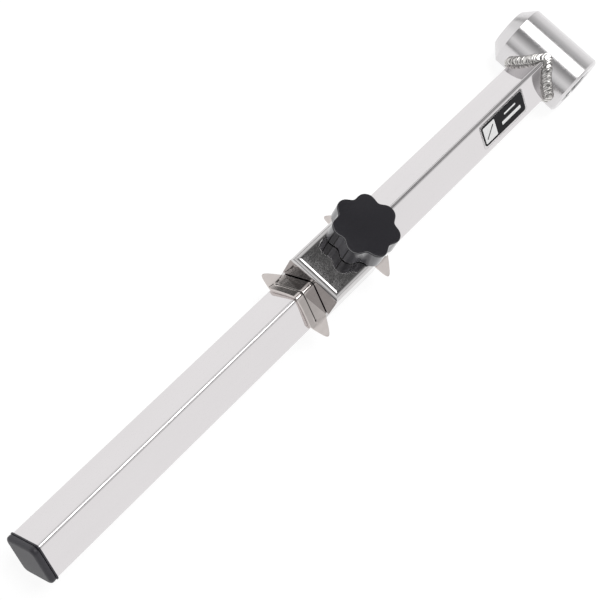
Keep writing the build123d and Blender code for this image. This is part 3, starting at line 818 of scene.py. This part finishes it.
def clamp_shoe():
    """One folded sheet as a grid along and across the arm. Its two sides lie half a sheet off the grid.

    The half thickness falls to nothing at the sheet's border as sqrt(1 - d squared), which rounds the border.
    The sheet's half width swells to an ear at both ends: the lesser of two slanted edges, rounded as
    -log(sum of exp(-k edge)) / k. A lip at each end is a bell curve across the ridge. Scored lines and their
    pits are narrow bells along and across the arm, and are marked with painted shade. Near each end a skirt,
    on the lower side only, reaches down to the tube.
    """
    half_sheet = SHOE_SHEET / 2
    ear_places = np.linspace(0, EAR_ROOT, 56)
    middle = np.linspace(SHOE_REAR + EAR_ROOT + 0.5, SHOE_FRONT - EAR_ROOT - 0.5, 16)
    border = np.array([0.02, 0.08, 0.2, 0.35, 0.5]) * SHOE_SHEET
    rear_ear = SHOE_REAR + np.concatenate([[0], border, ear_places[ear_places > 0.5]])
    x = np.concatenate([rear_ear, middle, (SHOE_REAR + SHOE_FRONT - rear_ear)[::-1]])[:, None]
    from_end = np.minimum(x - SHOE_REAR, SHOE_FRONT - x)

    first_edge = (EAR_ROOT - from_end) / (EAR_ROOT - EAR_TIP) * EAR_HEIGHT
    second_edge = from_end / EAR_TIP * EAR_HEIGHT
    ear = -np.log(np.exp(-EAR_SHARPNESS * first_edge) + np.exp(-EAR_SHARPNESS * second_edge)) / EAR_SHARPNESS
    half_width = SHOE_HALF_WIDTH + np.maximum(ear, 0)

    flank_places = np.concatenate([np.linspace(0, 1.0, 8), np.linspace(1.3, 12, 12), [12.5, 12.9]])
    inner = flank_places[-1]
    share = np.sin(np.radians(np.linspace(0, 90, 16)))[1:]
    flank = np.broadcast_to(flank_places, (len(x), len(flank_places)))
    right = np.concatenate([flank, inner + (half_width - inner) * share], axis=1)
    across = np.concatenate([-right[:, :0:-1], right], axis=1)
    aside = np.abs(across)

    lean = (shoe_line(across + 0.01) - shoe_line(across - 0.01)) / 0.02
    normal = np.stack([np.zeros_like(lean), -lean, np.ones_like(lean)], axis=-1)
    normal /= np.linalg.norm(normal, axis=-1, keepdims=True)
    to_side = np.clip(1 - (half_width - aside) / half_sheet, 0, 1)
    to_end = np.clip(1 - from_end / half_sheet, 0, 1)
    half = half_sheet * np.sqrt(1 - np.maximum(to_side, to_end) ** 2)[..., None]

    score = from_end - SCORE_INSET
    pits = bell(across, PIT_WIDTHS[0]) + bell(aside - PIT_ACROSS, PIT_WIDTHS[1])
    groove = SCORE_DEPTH * bell(score, SCORE_WIDTH) * (aside < SCORE_REACH + 0.1)
    groove = groove + PIT_DEPTH * pits * bell(score, PIT_LENGTH)
    # Painted shade in the scored lines and their pits
    line = bell(score, SCORE_SHADE_WIDTH, 4) * (aside < SCORE_REACH)
    painted_shade_and_tint = np.maximum(line, PIT_SHADE * pits * bell(score, PIT_SHADE_LENGTH))

    reach = np.minimum(aside, SKIRT_FLAT)
    tube = np.minimum(TUBE_SIDE / np.sqrt(2) - reach, RIDGE_Z)
    middle_z = SHOE_TOP - half_sheet
    under = middle_z + shoe_line(reach) - half_sheet / np.cos(radians(SHOE_SLOPE))
    at_end = np.clip(from_end / SKIRT_START, 0, 1)
    at_end = at_end * np.clip((SKIRT_END - from_end) / (SKIRT_END - SKIRT_FULL), 0, 1)
    skirt = at_end * np.clip(SKIRT_REACH - aside, 0, 1) * np.maximum(under - tube - SKIRT_GAP, 0)

    lip = SHOE_LIP * bell(across, LIP_WIDTH) * np.clip(1 - from_end / LIP_LENGTH, 0, 1)
    way_out = np.sign(x - (SHOE_REAR + SHOE_FRONT) / 2)
    sheet = np.stack([x + way_out * lip, ARM_Y + across, middle_z + shoe_line(across)], axis=-1)
    upper = sheet + normal * (half - groove[..., None] * (half > 0.9 * half_sheet))
    lower = sheet - normal * half - skirt[..., None] * (0, 0, 1)
    rows = np.concatenate([upper, lower[:, ::-1]], axis=1)
    painted_shade_and_tint = np.concatenate([painted_shade_and_tint, np.zeros_like(painted_shade_and_tint)], axis=1)
    mesh_object("clamp_shoe_folded", rows, "folded", "shoe", shoe_steel, ["clamp_shoe"], 50.0, painted_shade_and_tint=painted_shade_and_tint)


clamp_shoe()


# Camera, floor and light

# The camera stands where the edges of arm, barrel and cap put it. Its turn, drop and roll are in radians
CAMERA_AT = np.array([557.6, 98.3, 608.5])
CAMERA_TURN, CAMERA_DROP, CAMERA_ROLL = -2.939, 1.056, 0.572
FOCAL_PIXELS = 1430.8
PICTURE_PIXELS = 600
SENSOR_MM = 36.0


def place_object(thing, x_axis, y_axis, z_axis, at_mm):
    """Puts a camera or lamp at a place with the given axes."""
    matrix = np.eye(4)
    matrix[:3] = np.stack([x_axis, y_axis, z_axis, np.asarray(at_mm) * MM], axis=-1)
    thing.matrix_world = matrix.T.tolist()
    bpy.context.scene.collection.objects.link(thing)


def studio_camera():
    """The camera's axes: forward from its turn and drop, then sideways and up rolled about forward."""
    level_way = np.array([np.cos(CAMERA_TURN), np.sin(CAMERA_TURN), 0])
    forward = np.cos(CAMERA_DROP) * level_way - np.sin(CAMERA_DROP) * np.array([0, 0, 1])
    level = np.cross(forward, (0, 0, 1))
    level /= np.linalg.norm(level)
    upright = np.cross(level, forward)
    right = np.cos(CAMERA_ROLL) * level + np.sin(CAMERA_ROLL) * upright
    up = -np.sin(CAMERA_ROLL) * level + np.cos(CAMERA_ROLL) * upright
    camera = bpy.data.objects.new("camera", bpy.data.cameras.new("camera"))
    place_object(camera, right, up, -forward, CAMERA_AT)
    camera.data.sensor_width = SENSOR_MM
    camera.data.lens = SENSOR_MM * FOCAL_PIXELS / PICTURE_PIXELS
    camera.data.clip_start = 0.01
    bpy.context.scene.camera = camera


studio_camera()

FLOOR_Z = -BARREL_RADIUS - 0.05
FLOOR_HALF = 700.0
FLOOR_MIDDLE = (200.0, 25.0)


def floor():
    """Matt white card. Camera, glossy and clear rays see it nearly white, with a part kept for shadows."""
    signs = np.array([(-1, -1), (1, -1), (1, 1), (-1, 1)])
    corners = np.column_stack([FLOOR_MIDDLE + signs * FLOOR_HALF, np.full(4, FLOOR_Z)])
    mesh = bpy.data.meshes.new("floor")
    mesh.from_pydata((corners * MM).tolist(), [], [(0, 1, 2, 3)])
    card = bpy.data.objects.new("floor", mesh)
    bpy.context.scene.collection.objects.link(card)
    made = bpy.data.materials.new("matt_white_card")
    made.use_nodes = True
    tree = made.node_tree
    tree.nodes.clear()
    rays = add(tree, "ShaderNodeLightPath").outputs
    seen = rays["Is Camera Ray"]
    for other in ("Is Glossy Ray", "Is Transmission Ray"):
        seen = add(tree, "ShaderNodeMath", {0: seen, 1: rays[other]}, operation="MAXIMUM").outputs[0]
    matt = add(tree, "ShaderNodeBsdfDiffuse", {"Color": (0.80, 0.80, 0.80, 1)})
    part = add(tree, "ShaderNodeBsdfDiffuse", {"Color": (0.25, 0.25, 0.25, 1)})
    glow = add(tree, "ShaderNodeEmission", {"Strength": 0.85})
    bright = add(tree, "ShaderNodeAddShader", {0: part.outputs[0], 1: glow.outputs[0]})
    either = add(tree, "ShaderNodeMixShader", {0: seen, 1: matt.outputs[0], 2: bright.outputs[0]})
    add(tree, "ShaderNodeOutputMaterial", {"Surface": either.outputs[0]})
    mesh.materials.append(made)


floor()

# One long softbox hangs over the barrel and nose side. The barrel's white stripe is its reflection
SOFTBOX_HEIGHT = 1800.0
SOFTBOX_X = (-792.0, 420.0)
SOFTBOX_HALF_Y = 700.0
SOFTBOX_WATTS = 17.8


def softbox():
    """A rectangular lamp that faces straight down."""
    data = bpy.data.lights.new("softbox", "AREA")
    data.shape = "RECTANGLE"
    data.size, data.size_y = (SOFTBOX_X[1] - SOFTBOX_X[0]) * MM, 2 * SOFTBOX_HALF_Y * MM
    data.energy = SOFTBOX_WATTS
    at = (sum(SOFTBOX_X) / 2, 0, SOFTBOX_HEIGHT)
    place_object(bpy.data.objects.new("softbox", data), (1, 0, 0), (0, 1, 0), (0, 0, 1), at)


# The tent's grey up each of its four sides, as stops of (sine of the elevation, radiance). The left side
# has a dark gap low down, towards its two corners
TENT_BACK = ((0.0, 1.0), (0.38, 0.93), (0.62, 0.6), (0.8, 0.48), (0.845, 0.09), (1.0, 0.09))
TENT_FRONT = ((0.0, 0.35), (0.09, 0.38), (0.23, 0.68), (0.5, 1.0), (0.71, 0.62), (0.88, 0.24), (1.0, 0.12))
TENT_LEFT = ((0.0, 0.85), (0.27, 0.95), (0.6, 0.8), (0.8, 0.15), (1.0, 0.09))
TENT_GAP = ((0.0, 0.1), (0.02, 0.1), (0.045, 0.8), (0.27, 0.95), (0.6, 0.8), (0.8, 0.15), (1.0, 0.09))
TENT_RIGHT = ((0.0, 1.05), (0.12, 1.03), (0.18, 0.6), (0.3, 0.7), (0.45, 0.92), (0.8, 0.15), (1.0, 0.09))
# One side goes over to the next where a part of the direction passes from the first to the second value:
# the part along X, without its sign for the gap, and along Y for left and right
GAP_EDGES = (0.41, 0.47)
FRONT_EDGES = (-0.2, 0.2)
LEFT_EDGES = (-0.35, -0.75)
RIGHT_EDGES = (0.35, 0.75)
# Dark corners, as stops of (direction's part along Y, share of the light)
TENT_CORNERS = ((0.0, 1.0), (0.16, 1.0), (0.28, 0.3), (0.46, 0.3), (0.6, 1.0), (1.0, 1.0))


def studio_world():
    """A white tent, open overhead. Its four sides differ, as the steel's reflections in the photograph do."""
    world = bpy.data.worlds.new("studio")
    bpy.context.scene.world = world
    world.use_nodes = True
    tree = world.node_tree
    tree.nodes.clear()
    direction = add(tree, "ShaderNodeTexCoord").outputs["Generated"]
    way = add(tree, "ShaderNodeSeparateXYZ", {0: direction}).outputs
    along, across = (
        add(tree, "ShaderNodeMath", {0: way[axis]}, operation="ABSOLUTE").outputs[0] for axis in ("X", "Y")
    )
    side_stops = (TENT_BACK, TENT_FRONT, TENT_LEFT, TENT_GAP, TENT_RIGHT)
    back, front, left, gap, right = (
        add(tree, "ShaderNodeValToRGB", {"Fac": way["Z"]}, stops).outputs["Color"] for stops in side_stops
    )

    def go_over(first, last, part, edges):
        """The first grey up to one edge of a part of the direction, and the last grey past the other."""
        share = add(tree, "ShaderNodeMapRange", {"Value": part, "From Min": edges[0], "From Max": edges[1]})
        mixed = {"Factor": share.outputs["Result"], "A": first, "B": last}
        return add(tree, "ShaderNodeMix", mixed, data_type="RGBA").outputs["Result"]

    left = go_over(left, gap, along, GAP_EDGES)
    tent = go_over(back, front, way["X"], FRONT_EDGES)
    tent = go_over(tent, left, way["Y"], LEFT_EDGES)
    tent = go_over(tent, right, way["Y"], RIGHT_EDGES)
    corners = add(tree, "ShaderNodeValToRGB", {"Fac": across}, TENT_CORNERS).outputs["Color"]
    tent = add(tree, "ShaderNodeVectorMath", {0: tent, 1: corners}, operation="MULTIPLY").outputs["Vector"]
    rays = add(tree, "ShaderNodeLightPath").outputs
    around = add(tree, "ShaderNodeBackground", {"Color": tent})
    white = add(tree, "ShaderNodeBackground", {"Color": (1, 1, 1, 1)})
    links = {0: rays["Is Camera Ray"], 1: around.outputs[0], 2: white.outputs[0]}
    either = add(tree, "ShaderNodeMixShader", links)
    add(tree, "ShaderNodeOutputWorld", {"Surface": either.outputs[0]})


softbox()
studio_world()
bpy.context.scene.view_settings.view_transform = "Standard"
